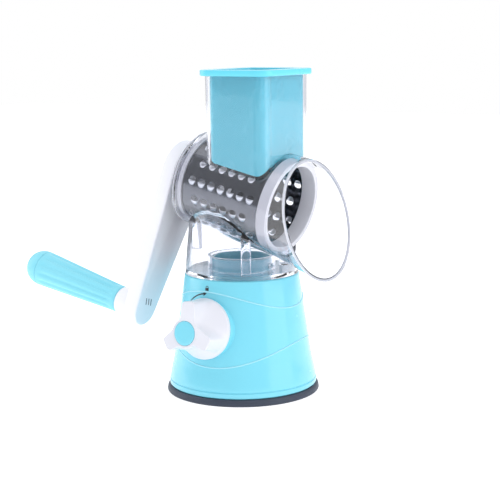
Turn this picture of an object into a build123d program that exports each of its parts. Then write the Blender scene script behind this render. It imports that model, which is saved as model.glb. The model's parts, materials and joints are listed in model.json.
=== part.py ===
from build123d import *
from math import cos, radians, sin, sqrt
import os

# Rotary cheese grater on a suction base. Millimetres, +Z up.
# Origin: centre of the suction face on the table. +X: towards the outlet mouth. -Y: knob side.

os.makedirs("parts", exist_ok=True)

# ---------------------------------------------------------------- driving dimensions
CUP_R = 57.5
CUP_RIM_H = 5.0
FLANGE_R = 55.5
BASE_TOP_Z = 89.5
BASE_TOP_R = 42.8
BASE_WALL = 2.4
SPIGOT_R = 22.5
SPIGOT_TOP_Z = 101.0

TILT = 12.56                      # drum axis slopes down towards the mouth
DRUM_FRONT = (45.07, 0.0, 140.3)  # centre of the drum's front opening
BARREL_REAR = -83.8               # distances along the axis are measured from DRUM_FRONT
BARREL_R_REAR = 35.5
BARREL_R_FRONT = 37.6
WALL = 2.0
MOUTH_CENTRE = (66.76, 0.0, 132.48)
MOUTH_R = 44.5
MOUTH_TILT = 12.6                 # the mouth faces slightly upwards

CHUTE_X = 14.8
CHUTE_SIZE = (53.6, 62.6)
CHUTE_FROM_Z = 150.0
CHUTE_TOP_Z = 235.2
CHUTE_CORNER = 9.0

SHEET_T = 0.6
SHEET_R_REAR = 31.0
SHEET_R_FRONT = 33.0
SHEET_REAR = -77.3
SHEET_FRONT = -8.5
TEETH_ROWS = 14
TOOTH_PITCH = 8.72
HOLE_R = 2.7

ARM_FRONT = -91.9
ARM_T = 12.1
ARM_LENGTH = 109.0
ARM_LEAN = 16.8
ARM_HUB_R = 24.0
ARM_TIP_R = 13.2
GRIP_START = -116.2
GRIP_SPLIT = -195.0
GRIP_END = -210.6

KNOB_CROSS_Z = 47.3               # where the knob's axis meets the base's axis
KNOB_TILT = 8.5
KNOB_DISC_R = 22.2
KNOB_CREST_W = 71.0               # distances out along the knob's axis from that crossing
KNOB_SEAT_R = 22.0
KNOB_LOBES = ((214.0, 23.0), (94.0, 20.4), (334.0, 20.4))  # direction and reach
KNOB_LOBE_HALF = 6.0
KNOB_BOSS_R = 11.0
KNOB_EYE_R = 8.8                  # the round insert and how far off the axis it sits
KNOB_EYE_OFFSET = 3.6
KNOB_EYE_ANGLE = 226.0
CAM_OFFSET = 2.5

PUSHER_TOP_Z = 240.0


def save(part, name):
    part.label = name
    export_step(part, f"parts/{name}.step")


def axle(s):
    """Plane square to the drum axis, s ahead of the drum's front opening; x is +Y, y is up."""
    front = Plane(
        origin=DRUM_FRONT,
        x_dir=(0, 1, 0),
        z_dir=Vector(1, 0, 0).rotate(Axis.Y, TILT),
    )
    return front.offset(s)


def knob_plane(w):
    """Plane square to the knob's axis, w out from the base's axis; x is +X, y is up."""
    centre = Plane(
        origin=(0, 0, KNOB_CROSS_Z),
        x_dir=(1, 0, 0),
        z_dir=Vector(0, -1, 0).rotate(Axis.X, -KNOB_TILT),
    )
    return centre.offset(w)


def mouth(offset=0.0):
    """Plane of the outlet's rim."""
    rim = Plane(
        origin=MOUTH_CENTRE,
        x_dir=(0, 1, 0),
        z_dir=Vector(1, 0, 0).rotate(Axis.Y, -MOUTH_TILT),
    )
    return rim.offset(offset)


# ---------------------------------------------------------------- suction cup
with BuildPart() as suction_cup:
    with BuildSketch(Plane.XZ):
        with BuildLine():
            Polyline(
                (0, 0), (CUP_R - 0.5, 0), (CUP_R, 0.8), (CUP_R - 0.6, 3.6),
                (CUP_R - 1.6, CUP_RIM_H), (53.6, CUP_RIM_H), (52, 3.4), (30, 3.2), (14.5, 3.6),
                (12.5, 5.4), (12.5, 11.0), (5.0, 11.0), (5.0, 9.6), (9.6, 9.6), (9.6, 3.4),
                (0, 3.4), (0, 0),
            )
        make_face()
    revolve(axis=Axis.Z)
save(suction_cup.part, "suction_cup")

# ---------------------------------------------------------------- base housing
# the hollow inside the base, less the bosses that stand in it
with BuildPart() as base_hollow:
    with BuildSketch(Plane.XZ):
        with BuildLine():
            Polyline(
                (0, 4.0), (52.2, 4.0), (52.2, 9.0), (50.8, 12.0), (50.8, 18.0),
                (49.2, 28.0), (40.6, 84.0), (37.0, BASE_TOP_Z - BASE_WALL), (0, BASE_TOP_Z - BASE_WALL),
                (0, 4.0),
            )
        make_face()
    revolve(axis=Axis.Z)
    # knob seat behind the disc
    with BuildSketch(knob_plane(44.5)):
        Circle(24.6)
    extrude(amount=20, mode=Mode.SUBTRACT)
    # long bearing for the cam spindle
    with BuildSketch(knob_plane(20.0)):
        Circle(8.5)
    extrude(amount=30, mode=Mode.SUBTRACT)
    # four screw bosses for the floor plate
    with BuildSketch(Plane.XY.offset(8.3)):
        with PolarLocations(41.0, 4, start_angle=45):
            Circle(4.2)
    extrude(amount=26, mode=Mode.SUBTRACT)
    # ribs tie the bosses to the wall
    with BuildSketch(Plane.XY.offset(8.3)):
        with PolarLocations(46.0, 4, start_angle=45):
            Rectangle(12.0, 2.4)
    extrude(amount=26, mode=Mode.SUBTRACT)

with BuildPart() as base_housing:
    with BuildSketch(Plane.XZ):
        with BuildLine():
            Polyline(
                (0, CUP_RIM_H), (FLANGE_R - 0.6, CUP_RIM_H), (FLANGE_R, 5.8), (FLANGE_R, 9.0),
                (54.9, 9.2), (54.9, 9.8), (55.3, 10.0), (54.6, 14.0), (53.6, 19.0), (52.5, 24.0),
                (51.6, 29.0), (43.1, BASE_TOP_Z - 1.2), (41.8, BASE_TOP_Z), (SPIGOT_R, BASE_TOP_Z),
                (SPIGOT_R, SPIGOT_TOP_Z), (SPIGOT_R - 2.2, SPIGOT_TOP_Z), (SPIGOT_R - 2.2, BASE_TOP_Z),
                (0, BASE_TOP_Z), (0, CUP_RIM_H),
            )
        make_face()
    revolve(axis=Axis.Z)
    # raised round seat for the knob
    with BuildSketch(knob_plane(30.0)):
        Circle(KNOB_SEAT_R)
    extrude(amount=18.7)
    add(base_hollow.part, mode=Mode.SUBTRACT)
    # spindle bore
    with BuildSketch(knob_plane(14.0)):
        Circle(5.06)
    extrude(amount=40, mode=Mode.SUBTRACT)
    # screw pilot holes
    with BuildSketch(Plane.XY.offset(8.0)):
        with PolarLocations(41.0, 4, start_angle=45):
            Circle(1.5)
    extrude(amount=14, mode=Mode.SUBTRACT)
    # two slots in the spigot for the bayonet lugs of the clear housing
    with BuildSketch(Plane.XY.offset(93.0)):
        with PolarLocations(0, 2):
            Polygon((0, 0), (30.0, 0), (21.6, 20.8), align=None)
    extrude(amount=4.0, mode=Mode.SUBTRACT)
save(base_housing.part, "base_housing")

# ---------------------------------------------------------------- floor plate and its screws
with BuildPart() as floor_plate:
    with BuildSketch(Plane.XZ):
        with BuildLine():
            Polyline(
                (51.9, CUP_RIM_H + 0.1), (51.9, 8.2), (16.2, 8.2), (16.2, 31.0), (4.08, 31.0),
                (4.08, 28.6), (13.8, 28.6), (13.8, CUP_RIM_H + 0.1), (51.9, CUP_RIM_H + 0.1),
            )
        make_face()
    revolve(axis=Axis.Z)
    with BuildSketch(Plane.XY.offset(4.0)):
        with PolarLocations(41.0, 4, start_angle=45):
            Circle(1.75)
    extrude(amount=6, mode=Mode.SUBTRACT)
    with BuildSketch(Plane.XY.offset(4.0)):
        with PolarLocations(41.0, 4, start_angle=45):
            Circle(3.4)
    extrude(amount=2.9, mode=Mode.SUBTRACT)
    # ribs round the stem guide
    with BuildSketch(Plane.XY.offset(8.2)):
        with PolarLocations(25.0, 6):
            Rectangle(19.0, 1.8)
    extrude(amount=4.5)
save(floor_plate.part, "floor_plate")

with BuildPart() as floor_screws:
    with BuildSketch(Plane.XY.offset(5.15)):
        with PolarLocations(41.0, 4, start_angle=45):
            Circle(3.2)
    extrude(amount=1.7)
    with BuildSketch(Plane.XY.offset(6.85)):
        with PolarLocations(41.0, 4, start_angle=45):
            Circle(1.48)
    extrude(amount=12.0)
    with BuildSketch(Plane.XY.offset(5.15)):
        with PolarLocations(41.0, 4, start_angle=45):
            Rectangle(3.6, 0.7)
            Rectangle(0.7, 3.6)
    extrude(amount=0.9, mode=Mode.SUBTRACT)
save(floor_screws.part, "floor_screws")

# ---------------------------------------------------------------- suction stem and its spring
with BuildPart() as suction_stem:
    with BuildSketch(Plane.XY.offset(3.7)):
        Circle(9.2)
    extrude(amount=2.0)
    with BuildSketch(Plane.XY.offset(5.7)):
        Circle(4.0)
    extrude(amount=34.0)
    with BuildSketch(Plane.XY.offset(12.4)):
        Circle(8.0)
    extrude(amount=1.8)
    with BuildSketch(Plane.XY.offset(38.0)):
        RectangleRounded(18.0, 8.6, 2.0)
    extrude(amount=16.0)
    # slot for the cam pin, square to the spindle
    with BuildSketch(knob_plane(-8.0)):
        with Locations((0, -CAM_OFFSET * 0.7071)):
            SlotOverall(11.6, 4.6)
    extrude(amount=16, mode=Mode.SUBTRACT)
save(suction_stem.part, "suction_stem")

with BuildPart() as stem_spring:
    with BuildLine():
        coil = Helix(pitch=2.5, height=12.6, radius=6.2, center=(0, 0, 15.0))
    with BuildSketch(Plane(origin=coil @ 0, z_dir=coil % 0)):
        Circle(0.55)
    sweep()
save(stem_spring.part, "stem_spring")

# ---------------------------------------------------------------- cam spindle, knob, cap, screw
with BuildPart() as cam_spindle:
    with BuildSketch(knob_plane(7.6)):
        Circle(6.2)
    extrude(amount=5.0)
    with BuildSketch(knob_plane(12.6)):
        Circle(5.0)
    extrude(amount=36.2)
    # squared end that carries the knob
    with BuildSketch(knob_plane(48.8)):
        RectangleRounded(7.4, 7.4, 1.0)
    extrude(amount=9.2)
    # cam pin, below and left of the axis at rest
    with BuildSketch(knob_plane(-7.0)):
        with Locations((-CAM_OFFSET * 0.7071, -CAM_OFFSET * 0.7071)):
            Circle(2.0)
    extrude(amount=15.0)
    with BuildSketch(knob_plane(58.0)):
        Circle(1.5)
    extrude(amount=-14, mode=Mode.SUBTRACT)
save(cam_spindle.part, "cam_spindle")

# crest outline of the knob: a round boss and three lobes, one of them longer
def lobe_reach(angle, lobe_angle, reach):
    turn = radians(angle - lobe_angle)
    if cos(turn) <= 0:
        return 0.0
    return ((cos(turn) / reach) ** 6 + (abs(sin(turn)) / KNOB_LOBE_HALF) ** 6) ** (-1 / 6)


def crest_radius(angle):
    turn = radians(angle - KNOB_EYE_ANGLE)
    boss = KNOB_EYE_OFFSET * cos(turn) + sqrt(KNOB_BOSS_R**2 - (KNOB_EYE_OFFSET * sin(turn)) ** 2)
    lobes = [lobe_reach(angle, at, reach) for at, reach in KNOB_LOBES]
    return sum(r**9 for r in [boss, *lobes]) ** (1 / 9)


def lever_outline(rise):
    """Outline of the knob's body; rise goes from 0 at the disc to 1 at the crest."""
    points = []
    for step in range(60):
        angle = 6.0 * step
        crest = crest_radius(angle)
        radius = crest + (KNOB_DISC_R - 0.3 - crest) * (1 - rise) ** 1.7
        points.append((radius * cos(radians(angle)), radius * sin(radians(angle))))
    return points


with BuildPart() as knob:
    for rise in (0.0, 0.25, 0.55, 1.0):
        with BuildSketch(knob_plane(52.0 + rise * (KNOB_CREST_W - 52.0))):
            with BuildLine():
                Spline(*lever_outline(rise), periodic=True)
            make_face()
    loft()
    with BuildSketch(knob_plane(49.0)):
        Circle(KNOB_DISC_R)
    extrude(amount=3.0)
    # recess for the round insert
    with BuildSketch(knob_plane(KNOB_CREST_W)):
        with PolarLocations(KNOB_EYE_OFFSET, 1, start_angle=KNOB_EYE_ANGLE):
            Circle(KNOB_EYE_R + 0.1)
    extrude(amount=-2.6, mode=Mode.SUBTRACT)
    # screw well and squared socket on the knob's axis
    with BuildSketch(knob_plane(KNOB_CREST_W)):
        Circle(3.6)
    extrude(amount=-11.0, mode=Mode.SUBTRACT)
    with BuildSketch(knob_plane(70.0)):
        Circle(1.7)
    extrude(amount=-20.0, mode=Mode.SUBTRACT)
    with BuildSketch(knob_plane(48.0)):
        RectangleRounded(7.5, 7.5, 1.0)
    extrude(amount=10.4, mode=Mode.SUBTRACT)
save(knob.part, "knob")

with BuildPart() as knob_insert:
    with BuildSketch(knob_plane(KNOB_CREST_W - 2.5)):
        with PolarLocations(KNOB_EYE_OFFSET, 1, start_angle=KNOB_EYE_ANGLE):
            Circle(KNOB_EYE_R)
    extrude(amount=3.1)
    fillet(knob_insert.faces().sort_by(Axis.Y)[0].edges(), 0.5)
save(knob_insert.part, "knob_insert")

with BuildPart() as knob_screw:
    with BuildSketch(knob_plane(60.05)):
        Circle(3.3)
    extrude(amount=2.2)
    with BuildSketch(knob_plane(60.05)):
        Circle(1.48)
    extrude(amount=-13.0)
    with BuildSketch(knob_plane(62.25)):
        Rectangle(3.8, 0.8)
        Rectangle(0.8, 3.8)
    extrude(amount=-1.1, mode=Mode.SUBTRACT)
save(knob_screw.part, "knob_screw")

# ---------------------------------------------------------------- clear housing
# everything the barrel, the funnel and the chute leave open
with BuildPart() as clear_hollow:
    with BuildSketch(axle(BARREL_REAR + 2.4)):
        Circle(BARREL_R_REAR - WALL)
    with BuildSketch(axle(1.0)):
        Circle(BARREL_R_FRONT - WALL)
    loft(ruled=True)
    with BuildSketch(axle(1.0)):
        Circle(BARREL_R_FRONT - WALL)
    with BuildSketch(mouth(0.5)):
        Circle(MOUTH_R - WALL)
    loft(ruled=True)
    with BuildSketch(Plane.XY.offset(CHUTE_FROM_Z - 2)):
        with Locations((CHUTE_X, 0)):
            RectangleRounded(CHUTE_SIZE[0] - 2 * WALL, CHUTE_SIZE[1] - 2 * WALL, CHUTE_CORNER - WALL)
    extrude(amount=CHUTE_TOP_Z - CHUTE_FROM_Z + 3, taper=-0.5)

# inside of the column, down to its floor web
with BuildPart() as column_hollow:
    with BuildSketch(Plane.XY.offset(92.4)):
        Ellipse(40.2, 40.2)
    with BuildSketch(Plane.XY.offset(150.0)):
        Ellipse(36.2, 31.2)
    loft(ruled=True)
    with BuildSketch(Plane.XY.offset(92.4)):
        Circle(25.4)
    extrude(amount=10.0, mode=Mode.SUBTRACT)
    # front pair of clear posts stands on the floor web, rear pair hangs from the barrel
    for first_z, turn in ((92.4, 51.0), (109.0, 128.0)):
        with BuildSketch(Plane.XY.offset(first_z)):
            with PolarLocations(34.0, 2, start_angle=-turn, angular_range=4 * turn):
                Circle(3.6)
        extrude(amount=60.0, mode=Mode.SUBTRACT)

with BuildPart() as clear_housing:
    # column, round at the base and narrower across the barrel
    with BuildSketch(Plane.XY.offset(89.6)):
        Ellipse(42.6, 42.6)
    with BuildSketch(Plane.XY.offset(150.0)):
        Ellipse(38.3, 33.2)
    loft(ruled=True)
    add(column_hollow.part, mode=Mode.SUBTRACT)
    # bore over the base's spigot
    with BuildSketch(Plane.XY.offset(88.0)):
        Circle(23.0)
    extrude(amount=16.0, mode=Mode.SUBTRACT)
    # barrel and funnel
    with BuildSketch(axle(BARREL_REAR)):
        Circle(BARREL_R_REAR)
    with BuildSketch(axle(1.0)):
        Circle(BARREL_R_FRONT)
    loft(ruled=True)
    with BuildSketch(axle(1.0)):
        Circle(BARREL_R_FRONT)
    with BuildSketch(mouth()):
        Circle(MOUTH_R)
    loft(ruled=True)
    # feed chute
    with BuildSketch(Plane.XY.offset(CHUTE_FROM_Z)):
        with Locations((CHUTE_X, 0)):
            RectangleRounded(CHUTE_SIZE[0], CHUTE_SIZE[1], CHUTE_CORNER)
    extrude(amount=CHUTE_TOP_Z - CHUTE_FROM_Z, taper=-0.5)
    # bearing boss on the rear wall
    with BuildSketch(axle(BARREL_REAR)):
        Circle(13.0)
    extrude(amount=-7.2)
    add(clear_hollow.part, mode=Mode.SUBTRACT)
    with BuildSketch(axle(BARREL_REAR - 8.0)):
        Circle(8.05)
    extrude(amount=12.0, mode=Mode.SUBTRACT)
    # bayonet lugs reach into the spigot's slots
    with BuildSketch(Plane.XY.offset(93.4)):
        with PolarLocations(21.9, 2, start_angle=8):
            Rectangle(4.4, 4.0)
    extrude(amount=3.1)
save(clear_housing.part, "clear_housing")

# ---------------------------------------------------------------- rear bearing
with BuildPart() as shaft_bush:
    with BuildSketch(axle(BARREL_REAR - 7.2)):
        Circle(8.0)
    extrude(amount=9.6)
    with BuildSketch(axle(BARREL_REAR - 7.2)):
        Circle(10.5)
    extrude(amount=-0.5)
    with BuildSketch(axle(BARREL_REAR - 9.0)):
        Circle(5.55)
    extrude(amount=14.0, mode=Mode.SUBTRACT)
save(shaft_bush.part, "shaft_bush")

# ---------------------------------------------------------------- drive shaft, crank arm, screw, cap
with BuildPart() as drive_shaft:
    with BuildSketch(axle(-98.0)):
        RegularPolygon(5.4, 6, major_radius=True)
    extrude(amount=6.2)
    with BuildSketch(axle(-91.8)):
        Circle(5.5)
    extrude(amount=11.0)
    with BuildSketch(axle(-80.8)):
        RegularPolygon(5.4, 6, major_radius=True)
    extrude(amount=19.8)
    with BuildSketch(axle(-98.0)):
        Circle(1.5)
    extrude(amount=14, mode=Mode.SUBTRACT)
    chamfer(drive_shaft.faces().sort_by(Axis.X)[-1].edges(), 0.8)
save(drive_shaft.part, "drive_shaft")

lean = Vector(0, -1).rotate(Axis.Z, -ARM_LEAN)
tip = (lean.X * ARM_LENGTH, lean.Y * ARM_LENGTH)

with BuildPart() as crank_arm:
    with BuildSketch(axle(ARM_FRONT)) as arm_outline:
        Circle(ARM_HUB_R)
        with Locations(tip):
            Circle(ARM_TIP_R)
        make_hull()
    extrude(amount=-ARM_T)
    front_rear = crank_arm.faces().filter_by(Axis(DRUM_FRONT, axle(0).z_dir))
    fillet(front_rear.edges(), 1.6)
    # elbow that carries the grip
    with BuildSketch(axle(ARM_FRONT - ARM_T + 1.0)):
        with Locations(tip):
            Circle(ARM_TIP_R - 0.4)
    with BuildSketch(axle(GRIP_START + 0.2)):
        with Locations(tip):
            Circle(10.6)
    loft(ruled=True)
    # three slots on the lower front face
    with BuildSketch(axle(ARM_FRONT)):
        with Locations((tip[0] + 0.5, tip[1] + 8.0)):
            with GridLocations(4.2, 0, 3, 1):
                SlotOverall(7.6, 1.9, rotation=72)
    extrude(amount=-1.0, mode=Mode.SUBTRACT)
    # hexagonal socket for the shaft, screw hole and cap recess
    with BuildSketch(axle(ARM_FRONT)):
        RegularPolygon(5.46, 6, major_radius=True)
    extrude(amount=-6.15, mode=Mode.SUBTRACT)
    with BuildSketch(axle(ARM_FRONT)):
        Circle(1.7)
    extrude(amount=-14, mode=Mode.SUBTRACT)
    with BuildSketch(axle(ARM_FRONT - ARM_T)):
        Circle(11.1)
    extrude(amount=3.6, mode=Mode.SUBTRACT)
    # press hole for the grip's pin
    with BuildSketch(axle(GRIP_START)):
        with Locations(tip):
            Circle(3.0)
    extrude(amount=18.0, mode=Mode.SUBTRACT)
save(crank_arm.part, "crank_arm")

with BuildPart() as crank_screw:
    with BuildSketch(axle(ARM_FRONT - ARM_T + 3.55)):
        Circle(3.6)
    extrude(amount=-1.6)
    with BuildSketch(axle(ARM_FRONT - ARM_T + 3.55)):
        Circle(1.48)
    extrude(amount=14.0)
    with BuildSketch(axle(ARM_FRONT - ARM_T + 1.95)):
        Rectangle(4.0, 0.8)
        Rectangle(0.8, 4.0)
    extrude(amount=0.9, mode=Mode.SUBTRACT)
save(crank_screw.part, "crank_screw")

with BuildPart() as crank_cap:
    with BuildSketch(axle(ARM_FRONT - ARM_T + 1.6)):
        Circle(11.0)
    extrude(amount=-2.2)
    fillet(crank_cap.faces().sort_by(Axis.X)[0].edges(), 0.6)
save(crank_cap.part, "crank_cap")

# ---------------------------------------------------------------- grip
with BuildPart() as grip_pin:
    with BuildSketch(axle(-190.4)):
        with Locations(tip):
            Circle(3.0)
    extrude(amount=90.0)
    with BuildSketch(axle(-190.4)):
        with Locations(tip):
            Circle(5.2)
    extrude(amount=-2.0)
save(grip_pin.part, "grip_pin")

GRIP_PROFILE = [(GRIP_START, 10.3), (-135.0, 11.1), (-160.0, 12.3), (-185.0, 13.5), (GRIP_SPLIT, 13.9)]

with BuildPart() as grip:
    for (s0, r0), (s1, r1) in zip(GRIP_PROFILE[:-1], GRIP_PROFILE[1:]):
        with BuildSketch(axle(s0)):
            with Locations(tip):
                Circle(r0)
        with BuildSketch(axle(s1)):
            with Locations(tip):
                Circle(r1)
        loft(ruled=True)
    # running bore, and the pocket for the pin's head
    with BuildSketch(axle(GRIP_START + 1)):
        with Locations(tip):
            Circle(3.08)
    extrude(amount=-90, mode=Mode.SUBTRACT)
    with BuildSketch(axle(-190.2)):
        with Locations(tip):
            Circle(7.6)
    extrude(amount=-8, mode=Mode.SUBTRACT)
    # lengthwise flutes
    for turn in range(0, 360, 30):
        with BuildSketch(axle(-190.0)):
            with Locations(tip):
                with PolarLocations(14.7, 1, start_angle=turn):
                    Circle(1.5)
        with BuildSketch(axle(GRIP_START - 3.0)):
            with Locations(tip):
                with PolarLocations(11.5, 1, start_angle=turn):
                    Circle(1.5)
        loft(ruled=True, mode=Mode.SUBTRACT)
save(grip.part, "grip")

with BuildPart() as grip_cap:
    with BuildSketch(axle(GRIP_SPLIT - 0.1)):
        with Locations(tip):
            Circle(13.9)
    extrude(amount=GRIP_END - GRIP_SPLIT + 0.1)
    far_end = grip_cap.faces().sort_by(Axis.X)[0]
    fillet(far_end.edges(), 12.6)
    with BuildSketch(axle(GRIP_SPLIT - 0.1)):
        with Locations(tip):
            Circle(7.5)
            Circle(5.9, mode=Mode.SUBTRACT)
    extrude(amount=2.0)
save(grip_cap.part, "grip_cap")

# ---------------------------------------------------------------- grating drum
with BuildPart() as drum_sheet:
    with BuildSketch(axle(SHEET_REAR)):
        Circle(SHEET_R_REAR)
    with BuildSketch(axle(SHEET_FRONT)):
        Circle(SHEET_R_FRONT)
    loft(ruled=True)
    with BuildSketch(axle(SHEET_REAR)):
        Circle(SHEET_R_REAR - SHEET_T)
    with BuildSketch(axle(SHEET_FRONT)):
        Circle(SHEET_R_FRONT - SHEET_T)
    loft(ruled=True, mode=Mode.SUBTRACT)
    for row in range(TEETH_ROWS):
        turn = 55.0 + row * 360.0 / TEETH_ROWS
        first, count = (-69.2, 7) if row % 2 else (-64.8, 6)
        for tooth in range(count):
            centre = axle(first + tooth * TOOTH_PITCH)
            outward = centre.y_dir.rotate(Axis((0, 0, 0), centre.z_dir), turn)
            radial = Plane(origin=centre.origin + outward * 26.0, x_dir=centre.z_dir, z_dir=outward)
            with BuildSketch(radial):
                Circle(HOLE_R)
            extrude(amount=10.0, mode=Mode.SUBTRACT)
save(drum_sheet.part, "drum_sheet")

with BuildPart() as drum_front_ring:
    with BuildSketch(axle(-12.0)):
        Circle(32.2)
    extrude(amount=3.5)
    with BuildSketch(axle(SHEET_FRONT)):
        Circle(34.3)
    extrude(amount=-SHEET_FRONT)
    with BuildSketch(axle(-12.5)):
        Circle(30.5)
    extrude(amount=14.0, mode=Mode.SUBTRACT)
save(drum_front_ring.part, "drum_front_ring")

with BuildPart() as drum_hub:
    with BuildSketch(axle(-80.6)):
        Circle(31.8)
    extrude(amount=3.2)
    with BuildSketch(axle(-77.4)):
        Circle(30.2)
    extrude(amount=3.4)
    with BuildSketch(axle(-78.4)):
        Circle(28.2)
    extrude(amount=6.0, mode=Mode.SUBTRACT)
    with BuildSketch(axle(-80.6)):
        Circle(8.6)
    extrude(amount=22.0)
    with BuildSketch(axle(-78.4)):
        with PolarLocations(18.0, 6):
            Rectangle(21.0, 1.8)
    extrude(amount=5.0)
    with BuildSketch(axle(-81.0)):
        RegularPolygon(5.5, 6, major_radius=True)
    extrude(amount=21.0, mode=Mode.SUBTRACT)
save(drum_hub.part, "drum_hub")

# ---------------------------------------------------------------- pusher
with BuildPart() as drum_room:
    with BuildSketch(axle(-100)):
        Circle(35.8)
    extrude(amount=140)

with BuildPart() as drum_room_floor:
    with BuildSketch(axle(-100)):
        Circle(37.8)
    extrude(amount=140)

with BuildPart() as pusher_hollow:
    with BuildSketch(Plane.XY.offset(PUSHER_TOP_Z + 1)):
        with Locations((CHUTE_X, 0)):
            RectangleRounded(44.6, 53.6, 5.4)
    extrude(amount=-100)
    add(drum_room_floor.part, mode=Mode.SUBTRACT)

with BuildPart() as pusher:
    with BuildSketch(Plane.XY.offset(PUSHER_TOP_Z)):
        with Locations((CHUTE_X, 0)):
            RectangleRounded(61.4, 70.0, 11.0)
    extrude(amount=-4.5)
    with BuildSketch(Plane.XY.offset(PUSHER_TOP_Z - 4.5)):
        with Locations((CHUTE_X, 0)):
            RectangleRounded(48.4, 57.4, 7.0)
    extrude(amount=-90)
    add(pusher_hollow.part, mode=Mode.SUBTRACT)
    add(drum_room.part, mode=Mode.SUBTRACT)
save(pusher.part, "pusher")
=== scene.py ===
# %% [markdown]
# # A hand-cranked drum grater on a suction base
# The engineering model comes first. It gives every piece its true size and place and its moving body,
# and nothing below ever moves it. Where a plain solid is not enough, a finer mesh stands in its place.

# %% Load the engineering model
import json
import math
import bmesh
import bpy
from mathutils import Matrix, Vector


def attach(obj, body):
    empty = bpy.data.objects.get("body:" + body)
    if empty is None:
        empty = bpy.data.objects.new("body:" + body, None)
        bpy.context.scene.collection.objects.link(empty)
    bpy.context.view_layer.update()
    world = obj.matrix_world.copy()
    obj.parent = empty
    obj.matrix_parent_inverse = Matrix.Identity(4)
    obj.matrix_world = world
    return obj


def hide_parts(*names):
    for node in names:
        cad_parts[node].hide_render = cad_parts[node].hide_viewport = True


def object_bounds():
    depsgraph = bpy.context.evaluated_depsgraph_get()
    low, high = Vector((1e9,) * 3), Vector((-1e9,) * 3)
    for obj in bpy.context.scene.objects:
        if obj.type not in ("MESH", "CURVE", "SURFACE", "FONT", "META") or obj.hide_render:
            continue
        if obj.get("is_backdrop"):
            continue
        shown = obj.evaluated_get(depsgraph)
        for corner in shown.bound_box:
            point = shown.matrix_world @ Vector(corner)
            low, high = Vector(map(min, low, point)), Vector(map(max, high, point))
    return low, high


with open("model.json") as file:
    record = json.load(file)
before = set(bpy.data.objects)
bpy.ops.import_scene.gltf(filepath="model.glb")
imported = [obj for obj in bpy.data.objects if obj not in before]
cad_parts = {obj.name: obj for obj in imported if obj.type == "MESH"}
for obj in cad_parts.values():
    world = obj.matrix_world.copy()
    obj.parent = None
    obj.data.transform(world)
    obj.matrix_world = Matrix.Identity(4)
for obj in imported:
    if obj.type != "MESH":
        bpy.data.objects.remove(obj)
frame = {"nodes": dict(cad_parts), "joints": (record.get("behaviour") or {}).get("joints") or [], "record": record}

cad_low, cad_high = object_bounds()
MM = 0.001
print("model box in mm:", [round((h - l) / MM, 1) for l, h in zip(cad_low, cad_high)])

# %% [markdown]
# Two sloping directions matter. The drum, its shaft and the crank turn about one line that slopes down
# towards the mouth, and the lever knob turns about a line square to the base's cone. Both are read from
# the joints of the model, so the pieces made here turn about exactly the same lines.

# %% Local spaces of the axle and of the knob
joints = {joint["name"]: joint for joint in frame["joints"]}


def local_space(origin, across, out):
    """Matrix whose z runs along out and whose x runs along across, placed at origin."""
    out = out.normalized()
    rise = out.cross(across).normalized()
    across = rise.cross(out).normalized()
    axes = Matrix((across, rise, out)).transposed().to_4x4()
    return Matrix.Translation(origin) @ axes


axle_out = Vector(joints["crank_spin"]["axis"]).normalized()
BEARING_TO_DRUM_MOUTH = 85 * MM
drum_mouth = Vector(joints["crank_spin"]["pos_m"]) + axle_out * BEARING_TO_DRUM_MOUTH
axle_space = local_space(drum_mouth, Vector((0, 1, 0)), axle_out)

knob_out = -Vector(joints["knob_turn"]["axis"]).normalized()
knob_space = local_space(Vector(joints["knob_turn"]["pos_m"]), Vector((1, 0, 0)), knob_out)
grip_centre = axle_space.inverted() @ Vector(joints["grip_spin"]["pos_m"])
grip_space = axle_space @ Matrix.Translation((grip_centre.x, grip_centre.y, 0))
print("drum mouth:", tuple(round(v, 4) for v in drum_mouth))
print("grip line:", tuple(round(v, 4) for v in grip_centre))

# %% [markdown]
# Most pieces here are moulded round bodies, so two small tools do most of the work. `soften` rounds the
# corners of an outline, because no moulded edge is truly sharp and a small radius is what catches the
# light. `turned` spins the outline round an axis, as a lathe would.

# %% Tools: softened outlines and turned bodies


def soften(outline, radius, steps=4):
    """Closed outline in mm with each corner replaced by a short curve of about that radius."""
    soft = []
    count = len(outline)
    for i, corner in enumerate(outline):
        here = Vector(corner)
        before, after = Vector(outline[i - 1]), Vector(outline[(i + 1) % count])
        into, away = before - here, after - here
        reach = min(radius, into.length * 0.45, away.length * 0.45)
        if here.x < 1e-6 or reach < 1e-4:
            soft.append(here)
            continue
        start = here + into.normalized() * reach
        end = here + away.normalized() * reach
        for k in range(steps + 1):
            t = k / steps
            soft.append(start * (1 - t) ** 2 + here * 2 * t * (1 - t) + end * t ** 2)
    return soft


def finish_piece(name, mesh, body, material, stands_for=()):
    """Shades a mesh smooth, gives it its finish and lets it ride on its moving body."""
    mesh.validate()
    piece = bpy.data.objects.new(name, mesh)
    bpy.context.scene.collection.objects.link(piece)
    for face in mesh.polygons:
        face.use_smooth = True
    mesh.materials.append(material)
    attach(piece, body)
    if stands_for:
        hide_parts(*stands_for)
    return piece


def mesh_from(name, points, faces, merge=1e-7):
    """Mesh with doubled points merged and all faces turned outwards."""
    shape = bmesh.new()
    corners = [shape.verts.new(p) for p in points]
    for face in faces:
        ring = []
        for index in face:
            if corners[index] not in ring:
                ring.append(corners[index])
        if len(ring) > 2:
            shape.faces.new(ring)
    bmesh.ops.remove_doubles(shape, verts=shape.verts, dist=merge)
    bmesh.ops.dissolve_degenerate(shape, edges=shape.edges, dist=merge)
    bmesh.ops.recalc_face_normals(shape, faces=shape.faces)
    mesh = bpy.data.meshes.new(name)
    shape.to_mesh(mesh)
    shape.free()
    return mesh


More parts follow.
